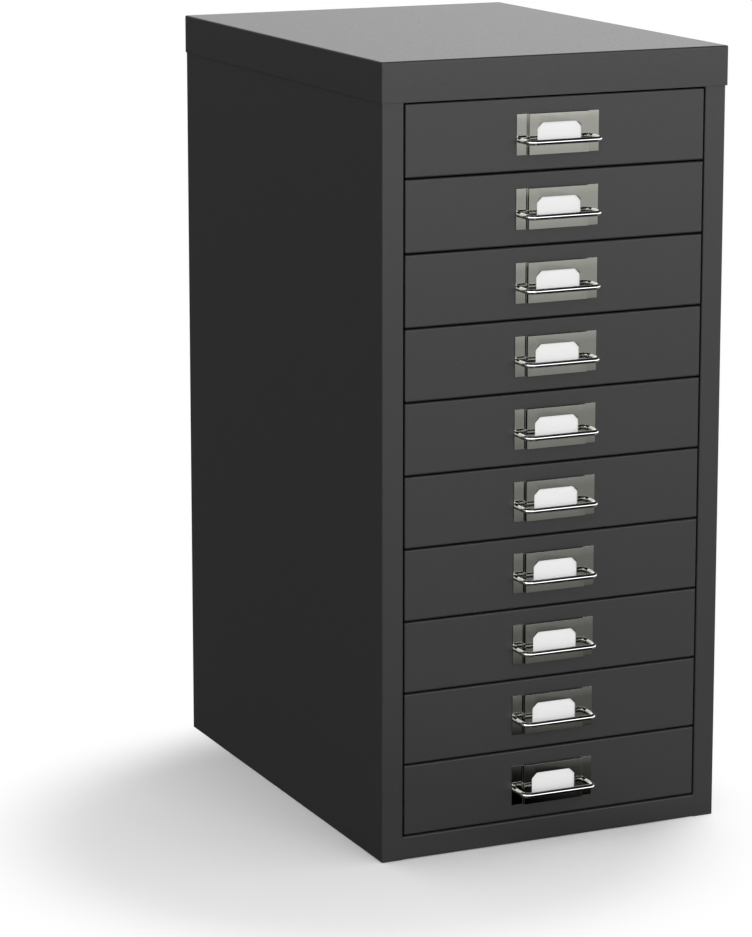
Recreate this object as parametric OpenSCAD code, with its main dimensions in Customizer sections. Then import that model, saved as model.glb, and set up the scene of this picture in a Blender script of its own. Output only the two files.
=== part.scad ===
// Small steel drawer cabinet: a folded sheet body with a lidded top, holding a
// stack of shallow drawers. Each drawer is a tray hung by its rims in channel
// runners, with a folded front, a chromed label holder and a bent wire pull.
// Millimetres. X is to the right, Y to the back, Z up from the floor.

/* [Body] */
// Width across the side panels
body_w = 278; // [240:1:340]
// Depth from the front frame to the back
body_d = 378; // [300:1:450]
// Height from the floor to the top of the cover
body_h = 590; // [480:1:700]
// Thickness of the body sheet
sheet_t = 1; // [0.8:0.1:1.4]
// Width of the folded welding flanges
flange_w = 12; // [8:0.5:14]

/* [Cover] */
// Height of the skirt round the cover
skirt_h = 29.5; // [20:0.5:40]
// Space between the front skirt and the front frame
skirt_gap = 0.6; // [0.3:0.1:1]

/* [Front frame] */
// Width of each front stile
stile_w = 16.9; // [15:0.1:25]
// Depth of the return behind each stile
stile_return_d = 15; // [12:0.5:24]
// Height of the bottom rail
rail_h = 17.6; // [12:0.1:40]
// Depth of the returns behind the bottom rail and the header
rail_return_d = 20; // [14:0.5:30]
// Height of the upturned lip at the back of the header
header_lip_h = 12; // [6:0.5:16]

/* [Drawers] */
// Number of drawers
drawer_count = 10; // [3:1:10]
// Gap round each drawer front
front_gap = 1.2; // [0.8:0.1:2]
// Thickness of the drawer sheet
drawer_t = 0.8; // [0.6:0.1:1]
// Depth of the folded edges of a drawer front
front_return_d = 10; // [6:0.5:11]
// Height of the lip folded down inside the top edge of a drawer front
front_lip_h = 6; // [3:0.5:7]
// Distance from the top of a drawer front down to the tray's rim
rim_drop = 8; // [7.5:0.1:12]
// How much lower the tray's back wall is than its rim
back_drop = 4; // [0:0.5:15]
// Free space behind a closed tray
rear_space = 24; // [10:1:50]
// Length of rim that stays in the runners when a drawer is fully out
held_length = 42.4; // [30:0.1:90]

/* [Runners] */
// Thickness of the runner sheet
runner_t = 1; // [0.8:0.1:1.2]
// How far the runner's legs reach in under and over the rim
runner_reach = 6.6; // [5:0.1:9]
// Running clearance between rim and runner
slide_gap = 0.3; // [0.2:0.05:0.5]
// Clearance between a runner's legs and the tray's side
tray_side_gap = 0.5; // [0.3:0.05:1]
// Clearance between the rim's edge and the runner's web
rim_edge_gap = 2.1; // [1.6:0.1:2.6]
// Length of the stops and of the ears that meet them
stop_len = 4; // [3:0.5:8]
// Clearance between a rim's edge and the front stop beside it
stop_side_gap = 0.4; // [0.3:0.05:0.6]
// Space between a runner plate and the stile it is welded beside
plate_setback = 2; // [0.5:0.1:4]

/* [Label holder] */
// Width of the label holder over its tabs
holder_w = 66.5; // [60:0.1:80]
// Height of the label holder
holder_h = 30; // [26:0.1:32]
// Thickness of the label holder's sheet
holder_t = 0.8; // [0.6:0.1:1]
// Width of the flat tab at each end of the holder
tab_w = 9; // [7:0.1:11]
// How far the centre is raised
centre_raise = 2.6; // [1.5:0.1:4]
// Width of the label window
window_w = 35.5; // [25:0.1:37]
// Height of the label window
window_h = 15.4; // [10:0.1:17]
// Distance from the holder's top edge down to the window
window_drop = 6.6; // [4:0.1:9]
// Size of the cut corners at the top of the window
window_chamfer = 4.1; // [2:0.1:6]
// Thickness of the label card
card_t = 0.5; // [0.3:0.05:1]
// Clearance at each side of the card
card_side_gap = 0.3; // [0.2:0.05:0.8]
// Distance from the holder's top edge down to the card
card_drop = 1; // [0.5:0.1:3]

/* [Wire pull] */
// Diameter of the wire
wire_d = 4; // [3.5:0.1:4.5]
// Distance from the holder's end to the centre of the wire's leg
leg_inset = 4.25; // [2:0.05:6]
// Distance from the holder's tabs to the centre of the front bar
wire_reach = 13.6; // [12:0.1:25]
// Bend radius at the wire's centre line
wire_bend_r = 4.4; // [3:0.1:9]
// How far the wire sits below the middle of the label holder
wire_drop = 4.5; // [0:0.1:8]
// Diameter of the leg's reduced end, which passes through the front
tenon_d = 3; // [2:0.1:3.2]
// Clearance round the reduced end
tenon_gap = 0.1; // [0.05:0.05:0.2]
// Diameter of the riveted head inside the tray
head_d = 5.6; // [4.5:0.1:7]
// Thickness of the riveted head
head_t = 1.2; // [0.8:0.1:2]

/* [Hidden] */
$fn = 48;

paint = [0.25, 0.25, 0.26];
inner_paint = [0.20, 0.20, 0.21];
chrome = [0.80, 0.80, 0.78];
paper = [0.95, 0.95, 0.95];

// The front frame's opening
side_x = body_w / 2;
opening_x = side_x - stile_w;
opening_top = body_h - skirt_h;
opening_h = opening_top - rail_h;

// Drawer fronts, one above another
front_h = (opening_h - (drawer_count + 1) * front_gap) / drawer_count;
pitch = front_h + front_gap;
front_x = opening_x - front_gap;
function front_top(i) = opening_top - front_gap - (i - 1) * pitch;
function front_mid(i) = front_top(i) - front_h / 2;
function front_bottom(i) = front_top(i) - front_h;
function rim_top(i) = front_top(i) - rim_drop;

// The runner plate's inner face, then inwards to the tray
plate_x = opening_x + sheet_t;
web_x = plate_x - runner_t;
leg_x = web_x - runner_reach;
tray_x = leg_x - tray_side_gap;
rim_x = web_x - rim_edge_gap;
ear_x = web_x - slide_gap;
rim_t = 2 * drawer_t;

// The holder's raised centre, and the wire's legs
centre_x = holder_w / 2 - tab_w;
wire_x = holder_w / 2 - leg_inset;

// Places along the depth
back_in_y = body_d - 2 * sheet_t;
tray_rear_y = back_in_y - rear_space;
runner_front_y = stile_return_d + slide_gap;
front_stop_y = runner_front_y + stop_len;
ear_y = tray_rear_y - held_length;
rear_stop_y = tray_rear_y + slide_gap;
rim_front_y = front_return_d + slide_gap;

// How far a drawer slides out before its ears meet the front stops
drawer_travel = ear_y - front_stop_y - slide_gap;
echo(drawer_travel = drawer_travel);

// The pull reaches furthest forward, and sets the middle of the whole depth
pull_reach = holder_t + wire_reach + wire_d / 2;
front_y = -(body_d - pull_reach) / 2;

// Node names: the body's pieces, then five pieces for each drawer
BODY_NODES = [
    "cover", "left_side_panel", "right_side_panel", "back_panel", "base_pan",
    "header_rail", "left_runner_plate", "right_runner_plate", "left_runners", "right_runners"
];
DRAWER_NODES = ["drawer_tray", "drawer_front", "label_holder", "label_card", "pull_wire"];
function two_digits(i) = i < 10 ? str("0", i) : str(i);
function numbered(name, i) = str(name, "_", two_digits(i));

// A block from its lowest corner to its highest
module block(low, high) {
    translate(low) cube(high - low);
}

// A block on the middle line, across the full width 2 * x
module centred_block(x, low_yz, high_yz) {
    block([-x, low_yz[0], low_yz[1]], [x, high_yz[0], high_yz[1]]);
}

// An outline in X and Z, as a sheet from y to y + t
module sheet_xz(y, t) {
    translate([0, y + t, 0]) rotate([90, 0, 0]) linear_extrude(t) children();
}

module on_each_side() {
    children();
    mirror([1, 0, 0]) children();
}

// Top cover: a shallow pan turned over the body, flush at the back
module cover() {
    x = side_x + sheet_t;
    front = -skirt_gap - sheet_t;
    color(paint) {
        centred_block(x, [front, body_h - sheet_t], [body_d, body_h]);
        centred_block(x, [front, opening_top], [-skirt_gap, body_h]);
        centred_block(x, [body_d - sheet_t, opening_top], [body_d, body_h]);
        on_each_side() block([side_x, front, opening_top], [x, body_d, body_h]);
    }
}

// Side panel on the +X side, with its stile and the stile's return at the
// front, and welding flanges along the bottom, the top and the back
module side_panel() {
    in_x = side_x - sheet_t;
    flange_x = side_x - flange_w;
    under_cover = body_h - sheet_t;
    above_skirt_y = body_d - sheet_t;
    color(paint) {
        block([in_x, 0, 0], [side_x, above_skirt_y, under_cover]);
        block([in_x, 0, 0], [side_x, body_d, opening_top]);
        block([opening_x, 0, 0], [side_x, sheet_t, under_cover]);
        block([opening_x, 0, rail_h], [plate_x, stile_return_d, opening_top]);
        block([flange_x, 0, sheet_t], [side_x, back_in_y, 2 * sheet_t]);
        block([flange_x, 0, under_cover - sheet_t], [side_x, above_skirt_y, under_cover]);
        block([flange_x, above_skirt_y, 0], [side_x, body_d, opening_top]);
    }
}

module left_side_panel() { mirror([1, 0, 0]) side_panel(); }

module right_side_panel() { side_panel(); }

// Back panel, welded inside the side panels' rear flanges
module back_panel() {
    color(paint)
        centred_block(
            side_x - sheet_t,
            [back_in_y, 0],
            [back_in_y + sheet_t, body_h - 2 * sheet_t]
        );
}

// Base pan: the bottom rail with its return, the floor plate below the side
// panels' bottom flanges, and an upstand at the back
module base_pan() {
    color(paint) {
        centred_block(opening_x, [0, 0], [sheet_t, rail_h]);
        centred_block(opening_x, [0, rail_h - sheet_t], [rail_return_d, rail_h]);
        centred_block(side_x - sheet_t, [sheet_t, 0], [back_in_y, sheet_t]);
        centred_block(opening_x, [back_in_y - sheet_t, 0], [back_in_y, flange_w]);
    }
}

// Header rail, hidden behind the cover's front skirt
module header_rail() {
    lip_y = rail_return_d - sheet_t;
    color(paint) {
        centred_block(opening_x, [0, opening_top], [sheet_t, body_h - sheet_t]);
        centred_block(opening_x, [0, opening_top], [rail_return_d, opening_top + sheet_t]);
        centred_block(opening_x, [lip_y, opening_top], [rail_return_d, opening_top + header_lip_h]);
    }
}

// Runner plate on the +X side: it stands on the base pan, lapped on the
// stile's return at the front and on the back panel behind
module runner_plate() {
    color(inner_paint) {
        block(
            [plate_x, sheet_t + plate_setback, sheet_t],
            [plate_x + runner_t, back_in_y, opening_top]
        );
        block(
            [plate_x, back_in_y - runner_t, 2 * sheet_t],
            [side_x - 2 * sheet_t, back_in_y, opening_top]
        );
    }
}

module left_runner_plate() { mirror([1, 0, 0]) runner_plate(); }

module right_runner_plate() { runner_plate(); }

// One channel runner on the +X side: web, two legs and the stops at its ends
module runner(i) {
    low = rim_top(i) - rim_t - slide_gap;
    high = rim_top(i) + slide_gap;
    end_y = rear_stop_y + stop_len;
    block([web_x, runner_front_y, low - runner_t], [plate_x, end_y, high + runner_t]);
    block([leg_x, runner_front_y, low - runner_t], [web_x, end_y, low]);
    block([leg_x, runner_front_y, high], [web_x, end_y, high + runner_t]);
    block([rim_x + stop_side_gap, runner_front_y, low], [web_x, front_stop_y, high]);
    block([leg_x, rear_stop_y, low], [web_x, end_y, high]);
}

module runners() {
    color(inner_paint)
        for (i = [1:drawer_count]) runner(i);
}

module left_runners() { mirror([1, 0, 0]) runners(); }

module right_runners() { runners(); }

// The two holes for the wire's ends, through whatever they are taken from
module wire_holes(i) {
    hole_d = tenon_d + 2 * tenon_gap;
    depth = holder_t + 3 * drawer_t;
    on_each_side()
        translate([wire_x, 2.5 * drawer_t, front_mid(i) - wire_drop])
            rotate([90, 0, 0]) cylinder(d = hole_d, h = depth + drawer_t);
}

// Drawer tray: floor, four walls, and rims that hang in the runners
module drawer_tray(i) {
    floor_z = front_bottom(i) + drawer_t;
    in_x = tray_x - drawer_t;
    rim_low = rim_top(i) - rim_t;
    color(inner_paint)
    difference() {
        union() {
            centred_block(tray_x, [drawer_t, floor_z], [tray_rear_y, floor_z + drawer_t]);
            centred_block(tray_x, [drawer_t, floor_z], [2 * drawer_t, front_top(i) - drawer_t]);
            centred_block(
                tray_x,
                [tray_rear_y - drawer_t, floor_z],
                [tray_rear_y, rim_top(i) - back_drop]
            );
            on_each_side() {
                block([in_x, drawer_t, floor_z], [tray_x, tray_rear_y, rim_top(i)]);
                block([in_x, rim_front_y, rim_low], [rim_x, tray_rear_y, rim_top(i)]);
                block([in_x, ear_y, rim_low], [ear_x, ear_y + stop_len, rim_top(i)]);
            }
        }
        wire_holes(i);
    }
}

// Drawer front: a sheet folded back on all four edges, with a lip at the top
module drawer_front(i) {
    low = front_bottom(i);
    high = front_top(i);
    lip_y = front_return_d - drawer_t;
    color(paint)
    difference() {
        union() {
            centred_block(front_x, [0, low], [drawer_t, high]);
            centred_block(front_x, [0, low], [front_return_d, low + drawer_t]);
            centred_block(front_x, [0, high - drawer_t], [front_return_d, high]);
            centred_block(front_x, [lip_y, high - front_lip_h], [front_return_d, high]);
            on_each_side()
                block([front_x - drawer_t, 0, low], [front_x, front_return_d, high]);
        }
        wire_holes(i);
    }
}

// The label window's outline: its top corners are cut off
module window_outline() {
    x = window_w / 2;
    polygon([
        [-x, -window_h], [x, -window_h], [x, -window_chamfer],
        [x - window_chamfer, 0], [-x + window_chamfer, 0], [-x, -window_chamfer]
    ]);
}

// Label holder: two tabs, and a raised centre that makes a pocket with a
// floor below, an open top and the window in front
module label_holder(i) {
    high = front_mid(i) + holder_h / 2;
    low = front_mid(i) - holder_h / 2;
    x = holder_w / 2;
    face_y = -centre_raise - holder_t;
    color(chrome)
    difference() {
        union() {
            on_each_side() {
                block([centre_x - holder_t, -holder_t, low], [x, 0, high]);
                block([centre_x - holder_t, face_y, low], [centre_x, 0, high]);
            }
            centred_block(centre_x, [face_y, low], [face_y + holder_t, high]);
            centred_block(centre_x, [face_y, low], [0, low + holder_t]);
        }
        translate([0, 0, high - window_drop])
            sheet_xz(face_y - holder_t, 2.5 * holder_t) window_outline();
        wire_holes(i);
    }
}

// Label card, standing on the pocket's floor against the window
module label_card(i) {
    low = front_mid(i) - holder_h / 2 + holder_t;
    high = front_mid(i) + holder_h / 2 - card_drop;
    color(paper)
        centred_block(
            centre_x - holder_t - card_side_gap,
            [-centre_raise, low],
            [-centre_raise + card_t, high]
        );
}

// One end of the wire pull: half the bar, the bend, the leg, its reduced end
// through the front, and the riveted head inside the tray
module wire_half() {
    bar_y = -holder_t - wire_reach;
    bend_x = wire_x - wire_bend_r;
    bend_y = bar_y + wire_bend_r;
    tray_face_y = 2 * drawer_t;
    translate([0, bar_y, 0]) rotate([0, 90, 0]) cylinder(d = wire_d, h = bend_x);
    translate([bend_x, bend_y, 0]) rotate([0, 0, -90]) rotate_extrude(angle = 90)
        translate([wire_bend_r, 0]) circle(d = wire_d);
    translate([wire_x, -holder_t, 0]) rotate([90, 0, 0])
        cylinder(d = wire_d, h = -holder_t - bend_y);
    translate([wire_x, tray_face_y + head_t, 0]) rotate([90, 0, 0])
        cylinder(d = tenon_d, h = tray_face_y + head_t + holder_t - bend_y / 2);
    translate([wire_x, tray_face_y + head_t, 0]) rotate([90, 0, 0])
        cylinder(d1 = tenon_d, d2 = head_d, h = head_t / 2);
    translate([wire_x, tray_face_y + head_t / 2, 0]) rotate([90, 0, 0])
        cylinder(d = head_d, h = head_t / 2);
}

module pull_wire(i) {
    color(chrome)
        translate([0, 0, front_mid(i) - wire_drop]) on_each_side() wire_half();
}

translate([0, front_y, 0]) {
    cover();
    left_side_panel();
    right_side_panel();
    back_panel();
    base_pan();
    header_rail();
    left_runner_plate();
    right_runner_plate();
    left_runners();
    right_runners();
    for (i = [1:drawer_count]) {
        drawer_tray(i);
        drawer_front(i);
        label_holder(i);
        label_card(i);
        pull_wire(i);
    }
}
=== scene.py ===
# A small steel drawer cabinet with ten drawers: folded sheet, satin dark grey
# paint, chromed label holders and bent wire pulls. Sizes below are millimetres,
# measured from the floor and from the front frame's face on the middle line.
import math

import bmesh
import bpy
from mathutils import Matrix, Vector


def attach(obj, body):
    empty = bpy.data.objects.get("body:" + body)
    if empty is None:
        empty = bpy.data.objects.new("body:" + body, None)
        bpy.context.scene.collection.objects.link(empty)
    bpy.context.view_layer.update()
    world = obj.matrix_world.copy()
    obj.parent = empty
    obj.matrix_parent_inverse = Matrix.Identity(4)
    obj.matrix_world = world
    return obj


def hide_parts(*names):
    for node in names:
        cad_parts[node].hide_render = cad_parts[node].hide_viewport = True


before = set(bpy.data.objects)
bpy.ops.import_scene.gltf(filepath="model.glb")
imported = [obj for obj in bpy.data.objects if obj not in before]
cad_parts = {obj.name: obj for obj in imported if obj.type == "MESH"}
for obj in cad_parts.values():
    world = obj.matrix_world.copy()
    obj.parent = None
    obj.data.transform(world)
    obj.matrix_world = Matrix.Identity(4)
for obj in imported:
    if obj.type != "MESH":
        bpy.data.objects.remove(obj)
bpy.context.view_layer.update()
bpy.ops.object.select_all(action="DESELECT")

MM = 0.001

# How near places must be to count as one: in millimetres, and in metres for a cut
snap = 0.02
mirror_snap = 0.01
weld_snap = 0.005
edge_margin = 0.1
cut_snap = 1e-7
no_size = 1e-6

# The body
side_x = 139
body_d = 378
body_h = 590
sheet_t = 1
flange_w = 12
skirt_h = 29.5
cover_x = 140
cover_front_y = -1.6
stile_w = 16.9
stile_return_d = 15
rail_h = 17.6
rail_return_d = 20
header_lip_h = 12
base_notch_y = 1.6
rail_end_d = 1.5
rear_skirt_y = body_d - 1.5
weld_flange_y = 3
cover_bend_r = 1.3
rail_bend_r = 1.2
opening_x = side_x - stile_w
opening_top = body_h - skirt_h
back_in_y = body_d - 2 * sheet_t

# The drawers
drawer_count = 10
front_gap = 1.2
front_x = opening_x - front_gap
front_h = (opening_top - rail_h - (drawer_count + 1) * front_gap) / drawer_count
pitch = front_h + front_gap
front_top = opening_top - front_gap
front_mid = front_top - front_h / 2
front_low = front_top - front_h
drawer_t = 0.8
front_return_d = 10
front_lip_h = 6
tray_x = 115
tray_rear_y = 352
rim_top = front_top - 8
rim_low = rim_top - 2 * drawer_t
rim_x = 120
rim_front_y = 10.3
tray_back_drop = 4
ear_x = 121.8
ear_y = 309.6
ear_d = 4
ear_bite = 1
front_bend_r = 1.1
tray_bend_r = 1.0
rim_bend_r = 0.7

# The label holders and wire pulls
holder_x = 33.25
holder_h = 30
holder_t = 0.8
centre_x = 24.25
centre_raise = 2.6
window_x = 17.75
window_h = 15.4
window_drop = 6.6
window_cut = 4.1
window_ease = 0.22
middle_x = 2
holder_bend_r = 0.25
card_x = 23.15
card_h = 28.2
card_t = 0.5
wire_r = 2
wire_x = 29
wire_z = front_mid - 4.5
bar_y = -14.4
bend_r = 4.4
wire_sides = 24
wire_bend_steps = 10
rivet_y = 2.8
rivet_r = 1.7
# The wire's outline from its rivet head to the bend: the depth behind the front frame's
# face, and the radius there
wire_outline = (
    (2.6, 2.4), (2.2, 2.8), (1.7, 2.8), (1.6, 2.7), (1.6, 1.5), (-0.75, 1.5), (-0.8, 1.9),
    (-0.95, wire_r), (bar_y + bend_r, wire_r),
)

# How far sheared edges are broken
sheet_edge = 0.12
thin_edge = 0.1
card_edge = 0.15
flange_edge = 0.3
ear_edge = 0.35

# Faces that meet at more than these angles are a fold, or stay sharp in the shading
fold_angle = math.radians(50)
sharp_angle = math.radians(48)

# Where the front frame's face lies in the shared frame
front_y = -(body_d + bar_y - wire_r) / 2


# ---------------------------------------------------------------- modelling

def place(x, y, z):
    """A place in millimetres from the front frame's foot, in the shared frame's metres."""
    return Vector((x, y + front_y, z)) * MM


def within(x=None, y=None, z=None, side=None, open_edge=False):
    """A test for edges and faces whose corners all lie at, or between, these millimetres.
    side is the distance from the middle line, left or right."""
    limits = []
    for read, limit in (
        (lambda v: v.co.x / MM, x),
        (lambda v: v.co.y / MM - front_y, y),
        (lambda v: v.co.z / MM, z),
        (lambda v: abs(v.co.x) / MM, side),
    ):
        if limit is not None:
            low, high = limit if isinstance(limit, tuple) else (limit, limit)
            limits.append((read, low - snap, high + snap))

    def test(part):
        if open_edge and not part.is_boundary:
            return False
        return all(low <= read(v) <= high for v in part.verts for read, low, high in limits)

    return test


def folded(part):
    """True for an edge where two faces meet at a fold."""
    return len(part.link_faces) == 2 and part.calc_face_angle() > fold_angle


def start(piece):
    """Turns to one piece alone, in edit mode."""
    bpy.ops.object.select_all(action="DESELECT")
    piece.select_set(True)
    bpy.context.view_layer.objects.active = piece
    bpy.ops.object.mode_set(mode="EDIT")


def stop():
    bpy.ops.object.mode_set(mode="OBJECT")


def choose(kind, test):
    """Selects the edges or faces of the piece in hand that pass the test."""
    bpy.ops.mesh.select_mode(type=kind)
    bpy.ops.mesh.select_all(action="DESELECT")
    mesh = bmesh.from_edit_mesh(bpy.context.object.data)
    for part in mesh.faces if kind == "FACE" else mesh.edges:
        if test(part):
            part.select_set(True)
    mesh.select_flush_mode()
    bmesh.update_edit_mesh(bpy.context.object.data)


def name_piece(name):
    piece = bpy.context.object
    piece.name = name
    piece.data.name = name
    bpy.ops.object.transform_apply(location=True, rotation=True, scale=True)
    return piece


def block(name, low, high):
    """A cube at its size and place, as the start of a folded piece."""
    bpy.ops.object.select_all(action="DESELECT")
    low, high = place(*low), place(*high)
    bpy.ops.mesh.primitive_cube_add(size=1, location=(low + high) / 2)
    bpy.ops.transform.resize(value=high - low, center_override=(low + high) / 2)
    return name_piece(name)


def panel(name, low, high):
    """A flat sheet face at its size and place: its thin direction is the one with no size.
    It faces the front, or away from the middle line."""
    bpy.ops.object.select_all(action="DESELECT")
    low, high = place(*low), place(*high)
    middle, size = (low + high) / 2, high - low
    turn = (math.pi / 2, 0, 0) if abs(size.y) < no_size else (math.pi / 2, 0, math.pi / 2)
    bpy.ops.mesh.primitive_plane_add(size=1, location=middle, rotation=turn)
    bpy.ops.transform.resize(value=[max(s, MM) for s in size], center_override=middle)
    return name_piece(name)


def cut(**at):
    """Cuts every face of the piece in hand at x, y or z in millimetres."""
    (axis, value), = at.items()
    where = {"x": place(value, 0, 0), "y": place(0, value, 0), "z": place(0, 0, value)}[axis]
    bpy.ops.mesh.select_mode(type="FACE")
    bpy.ops.mesh.select_all(action="SELECT")
    bpy.ops.mesh.bisect(
        plane_co=where, plane_no=[float(axis == a) for a in "xyz"], threshold=cut_snap
    )


def fold(test, x=0, y=0, z=0):
    """Pulls a new flange from the chosen open edges, by so many millimetres."""
    choose("EDGE", test)
    bpy.ops.mesh.extrude_edges_move(TRANSFORM_OT_translate={"value": (x * MM, y * MM, z * MM)})


def remove(test):
    choose("FACE", test)
    bpy.ops.mesh.delete(type="FACE")


def face_outwards():
    """Turns every face of an open folded sheet away from the middle of the piece."""
    bpy.ops.mesh.select_all(action="SELECT")
    bpy.ops.mesh.remove_doubles(threshold=snap * MM)
    bpy.ops.mesh.normals_make_consistent(inside=False)
    mesh = bmesh.from_edit_mesh(bpy.context.object.data)
    areas = [(face.calc_area(), face) for face in mesh.faces]
    middle = sum((area * face.calc_center_median() for area, face in areas), Vector())
    middle /= sum(area for area, face in areas)
    if sum(a * f.normal.dot(f.calc_center_median() - middle) for a, f in areas) < 0:
        bpy.ops.mesh.flip_normals()


def round_folds(radius, segments=3, test=lambda part: True):
    """Gives the folds that pass the test their bend radius."""
    face_outwards()
    choose("EDGE", lambda part: folded(part) and test(part))
    bpy.ops.mesh.bevel(
        offset=radius * MM, offset_type="OFFSET", segments=segments, affect="EDGES"
    )


def thicken(piece, thickness):
    """Gives a folded face the sheet's thickness, inwards."""
    wall = piece.modifiers.new("sheet", "SOLIDIFY")
    wall.thickness = thickness * MM
    wall.offset = -1
    wall.use_even_offset = True
    bpy.ops.object.modifier_apply(modifier=wall.name)


def shade(piece):
    """Shades folds round and faces flat."""
    bpy.ops.object.shade_smooth_by_angle(angle=sharp_angle)
    flat = piece.modifiers.new("flat faces", "WEIGHTED_NORMAL")
    flat.keep_sharp = True
    bpy.ops.object.modifier_apply(modifier=flat.name)


def soften(piece, width=sheet_edge, keep_sharp=lambda part: False):
    """Takes the burr off the sheared edges."""
    start(piece)
    choose("EDGE", lambda part: folded(part) and not keep_sharp(part))
    bpy.ops.mesh.bevel(offset=width * MM, offset_type="OFFSET", segments=1, affect="EDGES")
    stop()
    shade(piece)


def add_to(piece, *others):
    """Joins welded parts into one piece."""
    bpy.ops.object.select_all(action="DESELECT")
    for other in (*others, piece):
        other.select_set(True)
    bpy.context.view_layer.objects.active = piece
    bpy.ops.object.join()


def mirrored(piece, name):
    """The same piece for the other side of the cabinet."""
    bpy.ops.object.select_all(action="DESELECT")
    piece.select_set(True)
    bpy.context.view_layer.objects.active = piece
    bpy.ops.object.duplicate()
    bpy.ops.mesh.customdata_custom_splitnormals_clear()
    bpy.ops.transform.resize(value=(-1, 1, 1), center_override=(0, 0, 0))
    other = name_piece(name)
    start(other)
    bpy.ops.mesh.select_all(action="SELECT")
    bpy.ops.mesh.flip_normals()
    stop()
    shade(other)
    return other


# ------------------------------------------------------------- sheet pieces

def make_cover():
    """A shallow pan turned over the body."""
    cover = block(
        "cover_sheet", (-cover_x, cover_front_y, opening_top), (cover_x, body_d, body_h)
    )
    start(cover)
    remove(within(z=opening_top))
    round_folds(cover_bend_r, segments=4)
    stop()
    thicken(cover, sheet_t)
    soften(cover)
    return cover


def make_right_side():
    """Side panel, folded round into the front stile and its return, with flanges
    along the bottom, the top and the back for the welds."""
    under_cover = body_h - sheet_t
    flange_x = side_x - flange_w
    side = panel("right_side_sheet", (side_x, 0, 0), (side_x, body_d, under_cover))
    start(side)
    cut(z=opening_top)
    cut(y=rear_skirt_y)
    remove(within(y=(rear_skirt_y, body_d), z=(opening_top, under_cover)))
    cut(z=rail_h)
    fold(within(y=0, open_edge=True), x=-stile_w)
    fold(within(x=opening_x, z=(rail_h, opening_top), open_edge=True), y=stile_return_d)
    fold(within(y=body_d, z=(0, opening_top), open_edge=True), x=-flange_w)
    round_folds(cover_bend_r)
    stop()
    thicken(side, sheet_t)
    by_rail = within(
        x=(opening_x - edge_margin, opening_x + sheet_t + edge_margin), z=(0, rail_h)
    )
    soften(side, keep_sharp=by_rail)
    low_flange = block(
        "low_flange",
        (flange_x, weld_flange_y, sheet_t),
        (side_x - sheet_t / 2, back_in_y, 2 * sheet_t),
    )
    soften(low_flange, flange_edge)
    high_flange = block(
        "high_flange",
        (flange_x, weld_flange_y, under_cover - sheet_t),
        (side_x - sheet_t / 2, rear_skirt_y, under_cover),
    )
    soften(high_flange, flange_edge)
    add_to(side, low_flange, high_flange)
    return side


def make_back():
    back = block(
        "back_sheet",
        (sheet_t - side_x, back_in_y, 0),
        (side_x - sheet_t, back_in_y + sheet_t, body_h - 2 * sheet_t),
    )
    soften(back)
    return back


def make_base():
    """Bottom rail with its return, floor plate and rear upstand, from one sheet."""
    base = panel("base_sheet", (-opening_x, 0, 0), (opening_x, 0, rail_h))
    start(base)
    fold(within(z=rail_h), y=rail_return_d)
    fold(within(y=0, z=0), y=base_notch_y)
    fold(within(y=base_notch_y, z=0), y=back_in_y - base_notch_y)
    fold(within(y=back_in_y, z=0), z=flange_w)
    wing = stile_w - sheet_t
    fold(within(x=opening_x, y=(base_notch_y, back_in_y), z=0, open_edge=True), x=wing)
    fold(within(x=-opening_x, y=(base_notch_y, back_in_y), z=0, open_edge=True), x=-wing)
    round_folds(rail_bend_r, test=within(side=(0, opening_x)))
    stop()
    thicken(base, sheet_t)
    by_stiles = within(side=opening_x, y=(0, rail_end_d), z=(0, rail_h))
    soften(base, keep_sharp=by_stiles)
    return base


def make_header():
    """Header rail behind the cover's front skirt."""
    header = panel(
        "header_sheet", (-opening_x, 0, opening_top), (opening_x, 0, body_h - sheet_t)
    )
    start(header)
    fold(within(z=opening_top), y=rail_return_d)
    fold(within(y=rail_return_d, z=opening_top), z=header_lip_h)
    round_folds(rail_bend_r)
    stop()
    thicken(header, sheet_t)
    soften(header)
    return header


def make_front():
    """Drawer front, folded back on all four edges, with a lip inside the top edge."""
    front = block(
        "front_sheet", (-front_x, 0, front_low), (front_x, front_return_d, front_top)
    )
    start(front)
    remove(within(y=front_return_d))
    fold(within(y=front_return_d, z=front_top), z=-front_lip_h)
    round_folds(front_bend_r, segments=4)
    stop()
    thicken(front, drawer_t)
    soften(front, thin_edge)
    return front


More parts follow.
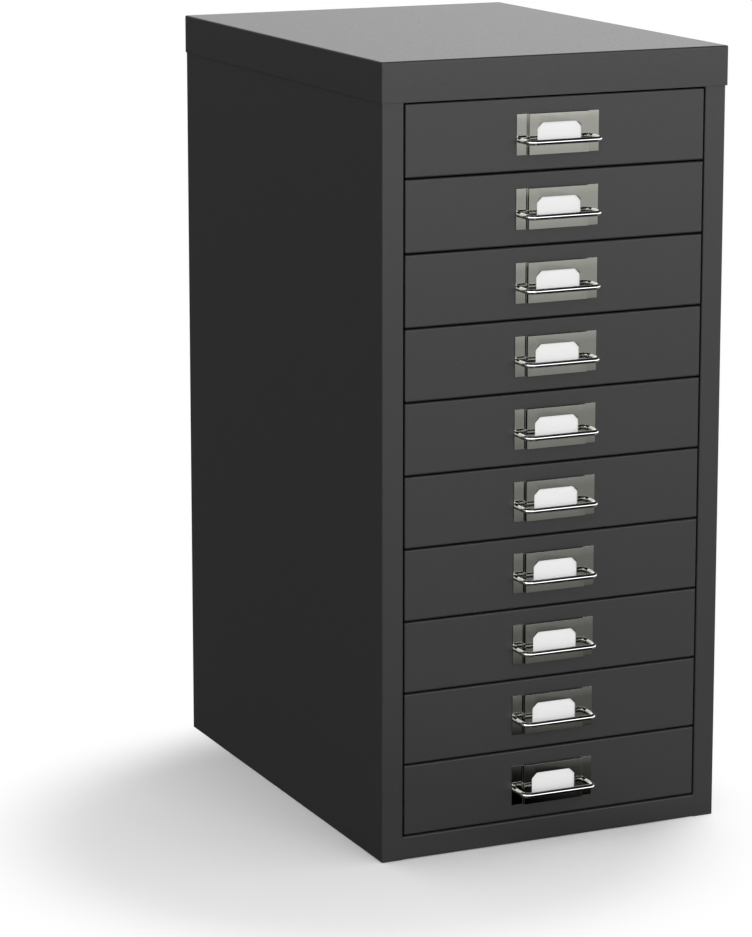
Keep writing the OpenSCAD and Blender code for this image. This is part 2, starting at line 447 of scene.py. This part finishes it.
def make_tray():
    """Drawer tray with hemmed rims that hang in the runners, and stop ears."""
    floor_z = front_low + drawer_t
    back_top = rim_top - tray_back_drop
    tray = block("tray_sheet", (-tray_x, drawer_t, floor_z), (tray_x, tray_rear_y, rim_low))
    start(tray)
    remove(within(z=rim_low))
    cut(z=back_top)
    cut(y=rim_front_y)
    remove(within(y=tray_rear_y, z=(back_top, rim_low)))
    fold(within(y=drawer_t, z=rim_low), z=rim_top - rim_low)
    fold(within(y=drawer_t, z=rim_top), z=front_top - drawer_t - rim_top)
    for way in (-1, 1):
        out, hem = way * rim_x, way * (tray_x - drawer_t)
        short_edge, long_edge = (drawer_t, rim_front_y), (rim_front_y, tray_rear_y)
        fold(within(x=way * tray_x, y=short_edge, z=rim_low), z=rim_top - rim_low)
        fold(within(x=way * tray_x, y=long_edge, z=rim_low), x=out - way * tray_x)
        fold(within(x=out, y=long_edge, z=rim_low), z=rim_top - rim_low)
        fold(within(x=out, y=long_edge, z=rim_top), x=hem - out)
    round_folds(tray_bend_r, test=within(z=(floor_z, back_top)))
    round_folds(rim_bend_r, test=within(side=(tray_x, rim_x), z=(rim_low, rim_top)))
    stop()
    thicken(tray, drawer_t)
    soften(tray, thin_edge)
    ears = []
    for way in (-1, 1):
        ends = sorted((way * (rim_x - ear_bite), way * ear_x))
        ear = block("ear", (ends[0], ear_y, rim_low), (ends[1], ear_y + ear_d, rim_top))
        soften(ear, ear_edge)
        ears.append(ear)
    add_to(tray, *ears)
    return tray


def make_holder():
    """Label holder: two tabs and a raised centre with a window, a pocket behind it."""
    face_y = -centre_raise - holder_t
    low, high = front_mid - holder_h / 2, front_mid + holder_h / 2
    window_top = high - window_drop
    window_low = window_top - window_h
    holder = panel("holder_plate", (-centre_x, face_y, low), (centre_x, face_y, high))
    start(holder)
    for x in (-window_x, window_x):
        cut(x=x)
    for z in (window_low, window_top):
        cut(z=z)
    window = within(side=(0, window_x), z=(window_low, window_top))
    # Each upper corner of the window is a chamfer, eased at both of its ends
    for way in (-1, 1):
        for lean, x, z in (
            (45, window_x - window_cut, window_top),
            (22.5, window_x - window_cut, window_top),
            (67.5, window_x, window_top - window_cut),
        ):
            ease = 0 if lean == 45 else window_ease
            across, up = math.sin(math.radians(lean)), math.cos(math.radians(lean))
            choose("FACE", window)
            bpy.ops.mesh.bisect(
                plane_co=place(way * (x - ease * across), face_y, z - ease * up),
                plane_no=(way * across, 0, up),
                threshold=cut_snap,
            )
    # Of the faces inside the cuts, the window is the one across the middle
    remove(lambda part: window(part) and abs(part.calc_center_median().x) < middle_x * MM)
    for way in (-1, 1):
        fold(within(x=way * centre_x, y=face_y), y=centre_raise)
        fold(within(x=way * centre_x, y=-holder_t), x=way * (holder_x - centre_x))
    fold(within(y=face_y, z=low), y=-face_y)
    round_folds(holder_bend_r)
    stop()
    thicken(holder, holder_t)
    soften(holder)
    return holder


def make_card():
    """Blank paper label, standing in the holder's pocket."""
    low = front_mid - holder_h / 2 + holder_t
    card = block(
        "card_paper",
        (-card_x, -centre_raise, low),
        (card_x, card_t - centre_raise, low + card_h),
    )
    soften(card, card_edge)
    return card


def make_wire():
    """Bent wire pull: a domed rivet head, the leg, the bend and half the bar, mirrored."""
    bpy.ops.object.select_all(action="DESELECT")
    bpy.ops.mesh.primitive_circle_add(
        vertices=wire_sides,
        radius=rivet_r * MM,
        fill_type="NGON",
        location=place(wire_x, rivet_y, wire_z),
        rotation=(math.pi / 2, 0, 0),
    )
    wire = name_piece("bent_wire")
    start(wire)
    bpy.ops.mesh.select_mode(type="FACE")
    bpy.ops.mesh.select_all(action="SELECT")
    was_y, was_r = rivet_y, rivet_r
    for y, radius in wire_outline:
        bpy.ops.mesh.extrude_region_move(
            TRANSFORM_OT_translate={"value": (0, (y - was_y) * MM, 0)}
        )
        share = radius / was_r
        bpy.ops.transform.resize(
            value=(share, share, share), center_override=place(wire_x, y, wire_z)
        )
        was_y, was_r = y, radius
    bpy.ops.mesh.spin(
        steps=wire_bend_steps,
        angle=math.pi / 2,
        center=place(wire_x - bend_r, bar_y + bend_r, wire_z),
        axis=(0, 0, 1),
    )
    bpy.ops.mesh.extrude_region_move(
        TRANSFORM_OT_translate={"value": ((bend_r - wire_x) * MM, 0, 0)}
    )
    bpy.ops.mesh.delete(type="FACE")
    stop()
    half = wire.modifiers.new("other half", "MIRROR")
    half.merge_threshold = mirror_snap * MM
    bpy.ops.object.modifier_apply(modifier=half.name)
    start(wire)
    bpy.ops.mesh.select_all(action="SELECT")
    bpy.ops.mesh.remove_doubles(threshold=weld_snap * MM)
    bpy.ops.mesh.normals_make_consistent(inside=False)
    stop()
    bpy.ops.object.shade_smooth_by_angle(angle=sharp_angle)
    return wire


# ---------------------------------------------------------------- materials

# Lumps to the metre, and their heights in metres
paint_grain = 1500
paint_peel = 520
paint_height = 0.00004
chrome_haze = 140
chrome_ripple = 300
chrome_height = 0.000004
zinc_spangles = 160
zinc_grain = 900
zinc_height = 0.00002
paper_fibre = 1500
paper_patches = 200
paper_height = 0.00003

paint_gloss = 0.42
paper_gloss = 0.25
relief_strength = 0.5
metal_relief_strength = 0.4

# Roughness, from the smoothest places to the roughest
body_rough = (0.28, 0.34)
inner_rough = (0.40, 0.48)
chrome_rough = (0.03, 0.07)
zinc_rough = (0.34, 0.50)
paper_rough = (0.70, 0.85)

# Colours, from the darkest places to the lightest
body_colours = ((0.024, 0.024, 0.024), (0.036, 0.036, 0.036))
inner_colours = ((0.022, 0.022, 0.022), (0.032, 0.032, 0.032))
plate_colours = ((0.41, 0.41, 0.37), (0.45, 0.45, 0.41))
# The wire's darkest colour is the painted shade on its legs near the plate
wire_colours = ((0.28, 0.28, 0.28), (0.68, 0.68, 0.68))
zinc_colours = ((0.36, 0.36, 0.37), (0.50, 0.50, 0.51))
paper_colours = ((0.80, 0.80, 0.80), (0.90, 0.90, 0.90))

# Soft noise lies between these values nearly everywhere
noise_low, noise_high = 0.3, 0.7

# Painted shade: the wire's chrome goes dark along its legs near the plate, between these depths
# in metres
wire_root_shade = ((front_y - 10.0) * MM, (front_y - 6.0) * MM)
wire_shine = (0.9, 1)


def new_material(name):
    material = bpy.data.materials.new(name)
    material.use_nodes = True
    tree = material.node_tree
    shader = tree.nodes["Principled BSDF"]
    where = tree.nodes.new("ShaderNodeTexCoord").outputs["Object"]
    return material, tree, shader, where


def noise(tree, where, per_metre, detail=2.0):
    """Soft noise with so many lumps to the metre."""
    node = tree.nodes.new("ShaderNodeTexNoise")
    node.inputs["Scale"].default_value = per_metre
    node.inputs["Detail"].default_value = detail
    tree.links.new(where, node.inputs["Vector"])
    return node.outputs["Fac"]


def spread(tree, value, low, high, dark, light, soft=False):
    """Maps a value from low..high to dark..light, with soft ends if asked."""
    node = tree.nodes.new("ShaderNodeMapRange")
    if soft:
        node.interpolation_type = "SMOOTHSTEP"
    for socket, number in zip(node.inputs[1:5], (low, high, dark, light)):
        socket.default_value = number
    tree.links.new(value, node.inputs[0])
    return node.outputs[0]


def between(tree, value, edge, dark, light):
    """Goes softly from dark to light across an edge, given by its two sides."""
    return spread(tree, value, *edge, dark, light, soft=True)


def feed(tree, socket, value):
    """Gives a socket a number or another node's result."""
    if isinstance(value, (int, float)):
        socket.default_value = value
    else:
        tree.links.new(value, socket)


def join_values(tree, kind, first, second):
    node = tree.nodes.new("ShaderNodeMath")
    node.operation = kind
    feed(tree, node.inputs[0], first)
    feed(tree, node.inputs[1], second)
    return node.outputs[0]


def band(tree, value, low_edge, high_edge):
    """1 between two soft edges, and 0 beyond them."""
    return join_values(
        tree, "MULTIPLY", between(tree, value, low_edge, 0.0, 1.0),
        between(tree, value, high_edge, 1.0, 0.0),
    )


def mix_values(tree, share, first, second):
    node = tree.nodes.new("ShaderNodeMix")
    feed(tree, node.inputs["Factor"], share)
    feed(tree, node.inputs["A"], first)
    feed(tree, node.inputs["B"], second)
    return node.outputs[0]


def mix_shaders(tree, share, first, second):
    node = tree.nodes.new("ShaderNodeMixShader")
    tree.links.new(share, node.inputs[0])
    tree.links.new(first, node.inputs[1])
    tree.links.new(second, node.inputs[2])
    return node.outputs[0]


def split(tree, vector):
    """The x, y and z of a vector."""
    node = tree.nodes.new("ShaderNodeSeparateXYZ")
    tree.links.new(vector, node.inputs[0])
    return node.outputs


def tint(tree, value, dark, light):
    """A colour between two, by a value from 0 to 1."""
    node = tree.nodes.new("ShaderNodeMix")
    node.data_type = "RGBA"
    node.inputs["A"].default_value = (*dark, 1)
    node.inputs["B"].default_value = (*light, 1)
    tree.links.new(value, node.inputs["Factor"])
    return node.outputs["Result"]


def relief(tree, height, depth, strength, under=None):
    """Bumps of a real depth in metres, on top of others if they are given."""
    node = tree.nodes.new("ShaderNodeBump")
    node.inputs["Distance"].default_value = depth
    node.inputs["Strength"].default_value = strength
    tree.links.new(height, node.inputs["Height"])
    if under is not None:
        tree.links.new(under, node.inputs["Normal"])
    return node.outputs["Normal"]


def dress(tree, shader, colour, roughness, normal):
    tree.links.new(colour, shader.inputs["Base Color"])
    tree.links.new(roughness, shader.inputs["Roughness"])
    tree.links.new(normal, shader.inputs["Normal"])


def make_paint(name, colours, rough):
    """Satin powder paint: mottled colour, orange peel and a fine grain."""
    material, tree, shader, where = new_material(name)
    shader.inputs["Specular IOR Level"].default_value = paint_gloss
    grain = noise(tree, where, paint_grain)
    peel = noise(tree, where, paint_peel)
    lumps = relief(tree, peel, paint_height, relief_strength)
    dress(
        tree, shader,
        tint(tree, spread(tree, grain, noise_low, noise_high, 0, 1), *colours),
        spread(tree, peel, noise_low, noise_high, *rough),
        relief(tree, grain, paint_height, relief_strength, lumps),
    )
    return material


def make_chrome(name, colours, shade_depths=None):
    """Bright chrome, with painted shade that darkens it between two depths, if they are given.
    """
    material, tree, shader, where = new_material(name)
    shader.inputs["Metallic"].default_value = 1
    haze = noise(tree, where, chrome_haze, 4)
    share = haze
    if shade_depths:
        # Painted shade: darker towards the plate along the wire's legs
        unshaded = between(tree, split(tree, where)["Y"], shade_depths, 1, 0)
        share = join_values(tree, "MULTIPLY", unshaded, spread(tree, haze, 0, 1, *wire_shine))
    dress(
        tree, shader,
        tint(tree, share, *colours),
        spread(tree, haze, noise_low, noise_high, *chrome_rough),
        relief(tree, noise(tree, where, chrome_ripple), chrome_height, metal_relief_strength),
    )
    return material


def make_zinc():
    """Zinc-coated steel with faint spangles."""
    material, tree, shader, where = new_material("runner_zinc")
    shader.inputs["Metallic"].default_value = 1
    cells = tree.nodes.new("ShaderNodeTexVoronoi")
    cells.inputs["Scale"].default_value = zinc_spangles
    tree.links.new(where, cells.inputs["Vector"])
    grey = tree.nodes.new("ShaderNodeSeparateColor")
    tree.links.new(cells.outputs["Color"], grey.inputs["Color"])
    shade = grey.outputs["Red"]
    dress(
        tree, shader,
        tint(tree, shade, *zinc_colours),
        spread(tree, shade, 0, 1, *zinc_rough),
        relief(tree, noise(tree, where, zinc_grain, 3), zinc_height, metal_relief_strength),
    )
    return material


def make_paper():
    """Matt paper with fine fibres."""
    material, tree, shader, where = new_material("label_paper")
    shader.inputs["Specular IOR Level"].default_value = paper_gloss
    fibre = noise(tree, where, paper_fibre, 5)
    patches = noise(tree, where, paper_patches)
    dress(
        tree, shader,
        tint(tree, fibre, *paper_colours),
        spread(tree, patches, noise_low, noise_high, *paper_rough),
        relief(tree, fibre, paper_height, relief_strength),
    )
    return material


# ------------------------------------------------------------------- camera

camera_at = (-1.1742, -2.4518, 0.8619)
camera_tilt = 78.909
camera_turn = -24.402
camera_sensor = 36
camera_lens = 136.7
camera_shift_y = -0.11


def make_camera():
    """Stands to the left of the cabinet and looks down on it a little."""
    data = bpy.data.cameras.new("camera")
    data.sensor_width = camera_sensor
    data.lens = camera_lens
    data.shift_y = camera_shift_y
    camera = bpy.data.objects.new("camera", data)
    camera.location = camera_at
    camera.rotation_euler = (math.radians(camera_tilt), 0, math.radians(camera_turn))
    bpy.context.scene.collection.objects.link(camera)
    bpy.context.scene.camera = camera


# ------------------------------------------------------- floor, sky and lamps

# The floor, as the camera and matt surfaces see it, in metres
floor_size = 24
floor_z = -0.0004
floor_shade = 0.92
floor_fade = (0.2, 0.32)
shadow_middle = (-0.115, -0.10, 0)
floor_bounce = 0.6

# The floor, as metal sees it: how clearly the studio's ground shows through, and a painted
# shadow of the cabinet where it shows dimly. In front that grows with the distance, and faster
# to the right
clear_edge = (0.15, 1.15)
clear_turn_x = -0.05
clear_rightwards = 6
beside_edge = (-0.1, 0.0)
beside_clear = 0.8
left_edge = (0.0, 0.05)
left_clear = 0.6

# Metal sees a black strip on the left. Its slant is its distance to the left over its
# distance ahead
strip_slants = ((0.40, 0.43), (0.95, 1.15))
least_ahead = 0.001

# The sky's strength. The edges below are parts of a direction of length 1
sky_fill = 1.10
sky_front = 4.0
sky_behind = 1.52
sky_dark = 0.02
sky_left = 0.12
sky_left_edge = (-0.3, 0.52)
behind_top = (0.35, 0.65)
front_top_right = (0.20, 0.36)
front_top_left = (0.45, 0.60)
front_left_edge = (0.2, 0.35)
facing_edge = (-0.1, 0.1)

# The ground under the sky, and the same black strip as on the floor
ground_dark_z = -0.335
ground_mid_z = -0.19
ground_light_z = -0.12
ground_top_z = 0.03
ground_light = 0.86
ground_edge = 0.12
ground_low = 0.3
ground_behind = 0.5
ground_gap = ((0.33, 0.39), (0.50, 0.56))
strip_x = ((-0.53, -0.50), (-0.39, -0.36))
strip_z = ((-0.345, -0.32), (-0.145, -0.115))


def make_floor():
    """A white sweep that keeps the cabinet's shadow. Metal looks through it at the studio's
    dark ground, under a painted shadow of the cabinet that is darkest close in front of it."""
    bpy.ops.object.select_all(action="DESELECT")
    bpy.ops.mesh.primitive_plane_add(size=floor_size, location=(0, 0, floor_z))
    floor = bpy.context.object
    floor.name = "floor"
    material = bpy.data.materials.new("pale_floor")
    material.use_nodes = True
    tree = material.node_tree
    tree.nodes.clear()
    path = tree.nodes.new("ShaderNodeLightPath")
    where = tree.nodes.new("ShaderNodeTexCoord").outputs["Object"]
    x, y, z = split(tree, where)

    near = tree.nodes.new("ShaderNodeBsdfDiffuse")
    near.inputs["Color"].default_value = (floor_shade, floor_shade, floor_shade, 1)
    white = tree.nodes.new("ShaderNodeEmission")
    distance = tree.nodes.new("ShaderNodeVectorMath")
    distance.operation = "DISTANCE"
    distance.inputs[1].default_value = shadow_middle
    tree.links.new(where, distance.inputs[0])
    away = between(tree, distance.outputs["Value"], floor_fade, 0.0, 1.0)
    seen = mix_shaders(tree, away, near.outputs[0], white.outputs[0])

    plain = tree.nodes.new("ShaderNodeBsdfDiffuse")
    plain.inputs["Color"].default_value = (floor_bounce, floor_bounce, floor_bounce, 1)

    ahead = join_values(tree, "SUBTRACT", front_y * MM, y)
    rightwards = join_values(
        tree, "MULTIPLY", join_values(tree, "MAXIMUM", x, clear_turn_x), clear_rightwards
    )
    clear = join_values(tree, "ADD", join_values(tree, "MAXIMUM", ahead, 0.0), rightwards)
    in_front = between(tree, clear, clear_edge, 0.0, 1.0)
    beside = between(tree, ahead, beside_edge, beside_clear, 0.0)
    leftwards = join_values(tree, "MULTIPLY", x, -1)
    slant = join_values(
        tree, "DIVIDE", leftwards, join_values(tree, "MAXIMUM", ahead, least_ahead)
    )
    off_strip = join_values(tree, "SUBTRACT", 1.0, band(tree, slant, *strip_slants))
    left = join_values(
        tree, "MULTIPLY", between(tree, leftwards, left_edge, 0.0, left_clear), off_strip
    )
    # Painted shadow: metal sees the floor dark close in front of and beside the cabinet
    shade = join_values(tree, "MAXIMUM", in_front, beside)
    shade = join_values(tree, "MAXIMUM", shade, left)
    ground = tree.nodes.new("ShaderNodeBsdfTransparent")
    tree.links.new(shade, ground.inputs["Color"])

    rest = mix_shaders(tree, path.outputs["Is Glossy Ray"], plain.outputs[0], ground.outputs[0])
    out = tree.nodes.new("ShaderNodeOutputMaterial")
    tree.links.new(
        mix_shaders(tree, path.outputs["Is Camera Ray"], rest, seen), out.inputs["Surface"]
    )
    floor.data.materials.append(material)


def make_sky():
    """White behind the cabinet for the camera, a soft even light for matt surfaces,
    and for polished ones a studio: light at eye level, dark overhead and underfoot."""
    world = bpy.data.worlds.new("studio")
    bpy.context.scene.world = world
    world.use_nodes = True
    tree = world.node_tree
    tree.nodes.clear()
    path = tree.nodes.new("ShaderNodeLightPath")
    x, y, z = split(tree, tree.nodes.new("ShaderNodeTexCoord").outputs["Generated"])
    ahead = between(tree, y, facing_edge, 1.0, 0.0)

    behind = between(tree, z, behind_top, sky_behind, sky_dark)
    front = mix_values(
        tree,
        between(tree, x, front_left_edge, 1.0, 0.0),
        between(tree, z, front_top_right, sky_front, sky_dark),
        between(tree, z, front_top_left, sky_front, sky_dark),
    )
    above = mix_values(tree, ahead, behind, front)

    below = join_values(
        tree,
        "ADD",
        spread(tree, z, ground_dark_z, ground_light_z, 0.0, ground_light),
        spread(tree, z, ground_mid_z, ground_light_z, 0.0, ground_edge),
    )
    off_gap = join_values(tree, "SUBTRACT", 1.0, band(tree, x, *ground_gap))
    aside = join_values(tree, "MULTIPLY", off_gap, ground_low)
    below = join_values(tree, "MAXIMUM", below, aside)
    below = mix_values(tree, ahead, ground_behind, below)
    rise = between(tree, z, (ground_light_z, ground_top_z), 0.0, 1.0)
    level = mix_values(tree, rise, below, above)

    strip = join_values(tree, "MULTIPLY", band(tree, x, *strip_x), band(tree, z, *strip_z))
    off_strip = join_values(tree, "SUBTRACT", 1.0, strip)
    share = mix_values(
        tree, ahead, between(tree, x, sky_left_edge, sky_left, 1.0), off_strip
    )
    glossy = join_values(tree, "MULTIPLY", level, share)

    strength = mix_values(tree, path.outputs["Is Glossy Ray"], sky_fill, glossy)
    strength = mix_values(tree, path.outputs["Is Camera Ray"], strength, 1.0)
    sky = tree.nodes.new("ShaderNodeBackground")
    tree.links.new(strength, sky.inputs["Strength"])
    out = tree.nodes.new("ShaderNodeOutputWorld")
    tree.links.new(sky.outputs[0], out.inputs["Surface"])


def softbox(name, at, aim, size, watts):
    """A lamp that only matt surfaces see."""
    data = bpy.data.lights.new(name, "AREA")
    data.shape = "RECTANGLE"
    data.size, data.size_y = size
    data.energy = watts
    lamp = bpy.data.objects.new(name, data)
    lamp.location = at
    lamp.rotation_euler = (Vector(aim) - Vector(at)).to_track_quat("-Z", "Y").to_euler()
    lamp.visible_glossy = False
    lamp.visible_camera = False
    bpy.context.scene.collection.objects.link(lamp)


bpy.context.scene.view_settings.view_transform = "Standard"
make_camera()
make_floor()
make_sky()
softbox("key_from_the_right", at=(1.5, 1.0, 2.9), aim=(0, 0, 0.1), size=(2.4, 1.8), watts=26)
softbox("fill_in_front", at=(0.4, -3.0, 0.9), aim=(0, 0, 0.3), size=(1.6, 1.2), watts=26)


# -------------------------------------------------------- putting it together

paint = make_paint("body_paint", body_colours, body_rough)
inside = make_paint("inner_paint", inner_colours, inner_rough)
zinc = make_zinc()
plate_chrome = make_chrome("plate_chrome", plate_colours)
wire_chrome = make_chrome("wire_chrome", wire_colours, wire_root_shade)
paper = make_paper()


def put(piece, body, node, material):
    """The piece takes a CAD node's place on its body, in its finish."""
    piece.data.materials.clear()
    piece.data.materials.append(material)
    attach(piece, body)
    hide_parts(node)


put(make_cover(), "cabinet", "cover", paint)
right_side = make_right_side()
left_side = mirrored(right_side, "left_side_sheet")
put(right_side, "cabinet", "right_side_panel", paint)
put(left_side, "cabinet", "left_side_panel", paint)
put(make_back(), "cabinet", "back_panel", paint)
put(make_base(), "cabinet", "base_pan", paint)
put(make_header(), "cabinet", "header_rail", paint)

drawer_pieces = (
    (make_tray(), "drawer_tray", inside, "inner_paint"),
    (make_front(), "drawer_front", paint, "body_paint"),
    (make_holder(), "label_holder", plate_chrome, "chrome"),
    (make_card(), "label_card", paper, "card"),
    (make_wire(), "pull_wire", wire_chrome, "chrome"),
)
for first, node, material, slot in drawer_pieces:
    name = first.name
    for number in range(drawer_count, 0, -1):
        piece = first
        if number > 1:
            piece = first.copy()
            piece.data = first.data.copy()
            bpy.context.scene.collection.objects.link(piece)
            piece.data.transform(Matrix.Translation((0, 0, (1 - number) * pitch * MM)))
        piece.name = piece.data.name = "%s_%02d" % (name, number)
        put(piece, "drawer_%02d" % number, "%s_%02d" % (node, number), material)

for node, material in (
    ("left_runner_plate", inside),
    ("right_runner_plate", inside),
    ("left_runners", zinc),
    ("right_runners", zinc),
):
    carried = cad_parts[node]
    carried.data.materials.clear()
    carried.data.materials.append(material)
